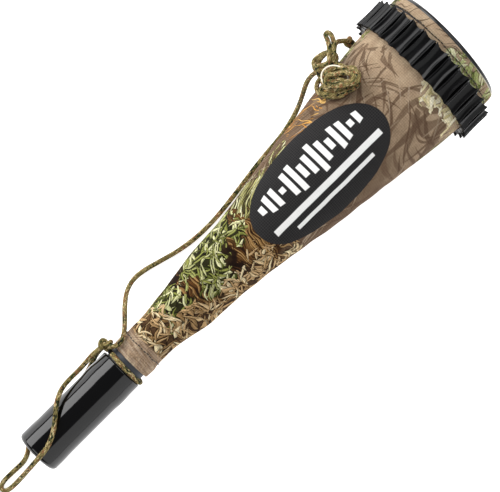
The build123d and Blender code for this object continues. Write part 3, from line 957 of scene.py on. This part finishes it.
BLADES = blade_group()
LEAF = "87673f cda978 f6e3b6"
GRASS = "49521f 969a4e e8e6b2"
BARK = "332012 76532e b08a56"
STRAW = "857f45 bdb877 ecebc4"
CREAM = "cfc08a f0e2b4 fff7dc"
PATCH = "6f7a3e b9c17c eceabf"
TWIG = "b8772c d99b45 efc377"
SHADE = "5c4737 66503f 745e4b"
PALE = "a08c74 b5a088 c9b69c"
TRUNK = "120a06 2c1a0f 573a20"
OVAL = (314.5, -1.6, 67.5, 39.4)  # middle station and place round the tube, half length and width
BAR_PITCH, BAR_HALF, BARS_HALF = 7.4, 2.4, 55.4
RIPSTOP_PITCH, RIPSTOP_THREAD, WEAVE_PITCH = 1.8, 0.17, 0.5


def camo():
    """Leaf litter, grass, bark and bare ground printed on ripstop, with a charcoal oval badge."""
    p = Paint("camo_ripstop", Roughness=0.9, IOR=1.4, Specular_IOR_Level=0.12)
    flat = p.cloth()
    u, v, _ = p.split(flat)

    def warped(scale, size, detail=1):
        shift = p.vector("SUBTRACT", p.noise(flat, scale, detail)[1], (0.5, 0.5, 0.5))
        return p.vector("MULTIPLY_ADD", shift, (size,) * 3, flat)

    bent = warped(0.055, 15)
    slow = warped(0.017, 60, 0)
    ru, rv, _ = p.split(warped(0.07, 42, 3))
    wide_noise = p.noise(flat, 0.011, 2, 0.5)[0]

    def zone(u0, u1, v0, v1, soft=5):
        return p.times(p.within(ru, u0, u1, soft), p.within(rv, v0, v1, soft))

    def either(first, *others):
        for other in others:
            first = p.math("MAXIMUM", first, other)
        return first

    far = either(p.step(v, 62, 74), p.step(v, -66, -80))
    litter = either(zone(90, 152, -60, 60), zone(146, 262, -70, -9), zone(126, 182, -70, -2),
                    p.times(far, p.step(u, 300, 270)))
    green = either(zone(147, 173, -6, 30), zone(186, 214, -12, 36), zone(206, 244, 7, 44),
                   p.times(far, p.step(wide_noise, 0.5, 0.56)))
    patch = either(zone(445, 475, -46, -8, 2), zone(449, 475, -78, -54, 2))
    trunk = either(zone(173, 186, -12, 40, 3), zone(216, 246, -16, 6, 4))
    bark = either(zone(176, 188, -10, 24, 2), zone(226, 252, -16, 12, 4),
                  zone(240, 254, -34, 46, 3),
                  p.times(far, p.step(wide_noise, 0.47, 0.41)))
    ground = p.step(ru, 250, 266)
    shadowed = p.times(ground, p.step(ru, 425, 395))
    straw = zone(250, 314, 15, 46, 3)
    cream = zone(412, 430, -66, -2, 2)
    twigs = zone(322, 372, 36, 66, 2)

    soft = p.noise(flat, 0.09, 4, 0.6)[0]
    fine = p.noise(flat, 0.7, 3, 0.6)[0]
    tone = p.ramp(soft, [(0.25, "2a1c12"), (0.5, "4a3421"), (0.75, "6d5236")])
    rise = p.mad(soft, 0.5, p.times(p.step(u, 300, 425), 0.5))
    tone = p.mix(ground, tone, p.ramp(rise, [
        (0.2, "6f5a48"), (0.42, "806b56"), (0.7, "ad957a"), (0.95, "cfb99b"),
    ]))
    tone = p.mix(trunk, tone, p.ramp(soft, [(0.35, "0d0806"), (0.65, "2c1b12")]))
    tone = p.mix(bark, tone, p.ramp(soft, [(0.3, "2a180c"), (0.6, "63401e"), (0.8, "8a6230")]))
    tone = p.mix(p.times(green, 0.85), tone, p.ramp(soft, [(0.35, "11140a"), (0.65, "353d1c")]))
    tone = p.mix(p.times(straw, 0.85), tone, "3d3a20")

    def layers(tone, where, palette, sizes, fill, place=bent, cut=0.42, crisp=0.08, dark=0.7,
               strength=1):
        low, mid, high = palette.split()
        for number, (angle, length, width) in enumerate(sizes):
            made = p.tree.nodes.new("ShaderNodeGroup")
            made.node_tree = BLADES
            p.feed(made, {
                "Tone": tone, "Where": where, "Place": place, "Angle": radians(-angle),
                "Size": (length, width, 1), "Shift": (7.3 * number + length, 3.9 * number, 0),
                "Cut": cut, "Crisp": crisp, "Dark": dark, "Fill": fill, "Strength": strength,
                "Low": low, "Mid": mid, "High": high,
            })
            tone = made.outputs[0]
        return tone

    # each layer: where, its palette, the angle, length and width of its blades, and their look
    for where, palette, sizes, look in [
        # soft branch shadows and pale streaks on bare ground
        (shadowed, SHADE, [
            (28, 150, 15), (-38, 120, 12), (70, 110, 10), (-8, 120, 8),
            (50, 90, 6), (-70, 80, 5),
        ], dict(place=slow, crisp=0.16, dark=0, fill=0.58, strength=0.8)),
        (ground, PALE, [(38, 60, 5), (-22, 50, 4)],
         dict(place=slow, crisp=0.25, dark=0, fill=0.28, strength=0.5)),
        (trunk, TRUNK, [(86, 40, 4), (98, 30, 3)], dict(fill=0.6)),
        (bark, BARK, [(84, 46, 4.6), (97, 30, 3.2), (78, 26, 2.6), (90, 34, 2.2)],
         dict(fill=0.7)),
        (green, GRASS, [
            (40, 24, 5.6), (-30, 22, 5), (75, 20, 4.4), (8, 20, 3.8),
            (120, 18, 3.6), (55, 17, 2.6),
        ], dict(fill=0.72, dark=0.8)),
        (straw, STRAW, [(30, 34, 3.8), (16, 30, 3), (44, 26, 3.2), (24, 28, 2.4)],
         dict(fill=0.85)),
        (litter, LEAF, [
            (15, 27, 8.6), (-42, 26, 7.6), (70, 24, 7), (35, 27, 5.4),
            (-15, 25, 4.8), (105, 22, 4.4), (52, 20, 3.6), (-65, 18, 3.4),
        ], dict(fill=0.6)),
        (patch, PATCH, [(50, 17, 6.4), (-20, 15, 5.4), (85, 14, 4.6), (20, 12, 3.2)],
         dict(cut=0.5, fill=0.95, dark=0.35)),
        (cream, CREAM, [(50, 20, 8.4), (-20, 18, 7), (85, 16, 6), (20, 13, 4)],
         dict(cut=0.55, fill=1, dark=0.2)),
        (twigs, TWIG, [(128, 60, 3.2), (102, 50, 2.8), (150, 44, 2.8)],
         dict(cut=0.34, fill=0.6, dark=0.2)),
        (p.step(u, 448, 450), TRUNK, [(-60, 50, 3), (-35, 44, 2.6)],
         dict(cut=0.28, fill=0.3, dark=0.2, strength=0.7)),
    ]:
        tone = layers(tone, where, palette, sizes, **look)
    tone = p.mix(p.times(p.step(u, 126, 122.5), 0.85), tone,
                 p.ramp(p.noise(p.turned(flat, 82, 22, 2.2), 1, 3, 0.6)[0],
                        [(0.3, "846a54"), (0.5, "ab937c"), (0.7, "cdb9a0")]))
    mottle = p.ramp(fine, [(0.3, "808080"), (0.7, "ffffff")])
    tone = p.mix(0.35, tone, p.mix(1, tone, mottle, "MULTIPLY"))

    # the badge: level bars over two plain stripes
    du = p.minus(u, OVAL[0])
    dv = p.minus(v, OVAL[1])
    reach = p.math("ADD", p.math("POWER", p.math("DIVIDE", du, OVAL[2]), 2),
                   p.math("POWER", p.math("DIVIDE", dv, OVAL[3]), 2))
    badge = p.step(reach, 1.012, 0.99)

    def bar(centre_v, half_v, half_u):
        return p.times(p.within(dv, centre_v - half_v, centre_v + half_v, 0.25),
                      p.within(du, -half_u, half_u, 0.25))

    index = p.math("FLOOR", p.math("ADD", p.math("DIVIDE", du, BAR_PITCH), 0.5))
    from_bar = p.size(p.minus(du, p.times(index, BAR_PITCH)))
    swing = p.size(p.sine(p.mad(index, 0.93, 0.6)))
    taper = p.minus(1, p.math("POWER", p.math("DIVIDE", du, 62), 2))
    tall = p.mad(p.times(swing, taper), 12, 2.2)
    off = p.size(p.minus(dv, 11.5))
    levels = p.times(p.step(from_bar, BAR_HALF + 0.2, BAR_HALF - 0.2),
                     p.step(p.minus(off, tall), 0.25, -0.25))
    levels = p.times(levels, p.step(p.size(du), BARS_HALF + 0.2, BARS_HALF - 0.2))
    marks = p.times(either(levels, bar(-9.5, 2.7, 57), bar(-19.5, 1.8, 41)), badge)
    tone = p.mix(badge, tone, p.mix(fine, "1d1d1e", "2b2a2b"))
    tone = p.mix(p.times(marks, 0.97), tone, "f2f2f0")

    # ripstop: a fine plain weave with thicker threads in a grid
    def lines(value):
        saw = p.size(p.minus(p.math("FRACT", p.math("DIVIDE", value, RIPSTOP_PITCH)), 0.5))
        return p.step(saw, 0.5 - RIPSTOP_THREAD, 0.5)

    grid = either(lines(u), lines(v))
    weave = p.times(p.sine(p.times(u, TURN / WEAVE_PITCH)), p.sine(p.times(v, TURN / WEAVE_PITCH)))
    tone = p.mix(p.times(p.times(grid, p.minus(1, marks)), 0.3), tone, "1a100a")
    tone = p.mix(p.times(p.times(grid, badge), 0.1), tone, "8a8a88")
    height = p.mad(grid, 0.8, p.times(weave, 0.25))
    crease = p.noise(p.turned(flat, 80, 60, 9), 1, 3, 0.6)[0]
    normal = p.bump(height, 0.0002, 0.55, p.bump(crease, 0.0008, 0.4))
    return p.wire(Base_Color=tone, Normal=normal)


def knit(name, low, high):
    p = Paint(name, Roughness=0.85, Sheen_Weight=0.2)
    place = p.coords()
    rib = p.sine(p.times(p.split(place)[0], 7000))
    fuzz = p.noise(place, 1500, 2)[0]
    # partly random tone from the fuzz, partly painted shade and highlight: darker in the grooves
    # of the rib, lighter on its crests
    tone = p.mix(p.mad(rib, 0.3, fuzz), low, high)
    return p.wire(Base_Color=tone, Normal=p.bump(p.math("ADD", rib, fuzz), 0.0002, 0.6))


elastic = knit("elastic_knit", "b3aa96", "e0d8c8")
for name, material in (
    ("lanyard_tab", knit("webbing_weave", "2c2c20", "55543c")), ("sleeve_seam", elastic),
    ("neck_elastic", elastic), ("bell_elastic", elastic),
    ("neck_seal", satin_plastic("seal_rubber", "0d0d0e", 0.5)),
):
    dress(frame["nodes"][name], material)

# ---- what each piece is made of, rides on and stands for ----
PAINTS = {  # for each slot
    "mouthpiece": gloss_plastic(), "horn": satin_plastic("horn_plastic", "34373d", 0.48),
    "rim": satin_plastic("rim_plastic", "0b0c0e", 0.16), "camo_fabric": camo(),
    "black_thread": thread_black(), "band": band_rubber(), "cord": braid(),
    "cord_elastic": soft_rubber(),
}
PARTS = [
    (mouthpiece, "mouthpiece", "mouthpiece"),
    (horn, "horn", "horn_tube"),
    (rim, "rim", "bell_rim"),
    (sleeve, "camo_fabric", "camo_sleeve"),
    (neck_hem, "camo_fabric", "neck_hem"),
    (bell_hem, "camo_fabric", "bell_hem"),
    (neck_stitches, "black_thread", "neck_stitching"),
    (bell_stitches, "black_thread", "bell_stitching"),
    (band, "band", "ribbed_band"),
    (main_cord, "cord", "lanyard_main_strand", "lanyard_top_strand", "lanyard_hank"),
    (wrist_cord, "cord", "wrist_loop"),
    (wrap_cord, "cord", "neck_wrap"),
    (top_knot, "cord", "lanyard_top_knot"),
    (neck_knot, "cord", "lanyard_neck_knot"),
    (hank_ring, "cord_elastic", "hank_ring"),
]
for piece, slot, *nodes in PARTS:
    dress(piece, PAINTS[slot])
    # two slots are bodies of their own, and the rest ride on the tube
    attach(piece, slot if slot in ("mouthpiece", "band") else "tube")
    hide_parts(*nodes)


sleeve_girth = TURN * float(sleeve_radius(np.linspace(SLEEVE_START, SLEEVE_END, 200)).mean())

# ---- floor and light ----
FLOOR_HALF, FLOOR_GAP = 2, 0.0003  # metres
FLOOR_GLOW, WORLD_STRENGTH = 0.75, 0.12
floor_mesh = bpy.data.meshes.new("floor")
floor_mesh.from_pydata([
    (x, y, -FLOOR_GAP)
    for x, y in ((-FLOOR_HALF, -FLOOR_HALF), (FLOOR_HALF, -FLOOR_HALF), (FLOOR_HALF, FLOOR_HALF),
                 (-FLOOR_HALF, FLOOR_HALF))
], [], [(0, 1, 2, 3)])
floor = placed("floor", floor_mesh)
dress(floor, Paint("floor_paint").wire(
    Base_Color="f6f6f6", Roughness=0.9, Emission_Color="ffffff", Emission_Strength=FLOOR_GLOW
))

world = bpy.data.worlds.new("studio")
world.use_nodes = True
sky = world.node_tree.nodes["Background"].inputs
sky["Color"].default_value = (1, 1, 1, 1)
sky["Strength"].default_value = WORLD_STRENGTH
scene.world = world


# softboxes aimed at the tube's middle: place, width and depth in metres, brightness
SOFTBOXES = [
    ("left_box", (230, 1150, 620), 1.7, 0.95, 4.7),
    ("right_panel", (230, -1250, 760), 1.9, 1.7, 1.1),
    ("bell_end_box", (1150, 60, 1150), 0.8, 1.3, 2.1),
    ("mouth_end_box", (-800, 60, 1150), 0.8, 1.3, 2.1),
]
for name, place, width, depth, radiance in SOFTBOXES:
    data = bpy.data.lights.new(name, "AREA")
    data.shape = "RECTANGLE"
    data.size, data.size_y = width, depth
    data.energy = radiance * pi * width * depth
    lamp = placed(name, data)
    away = (spot(*place) - spot(230, 0, 0)).normalized()
    side = ALONG.cross(away).normalized()
    lamp.matrix_world = Matrix((away.cross(side), side, away)).transposed().to_4x4()
    lamp.location = spot(*place)
scene.view_settings.view_transform = "Standard"
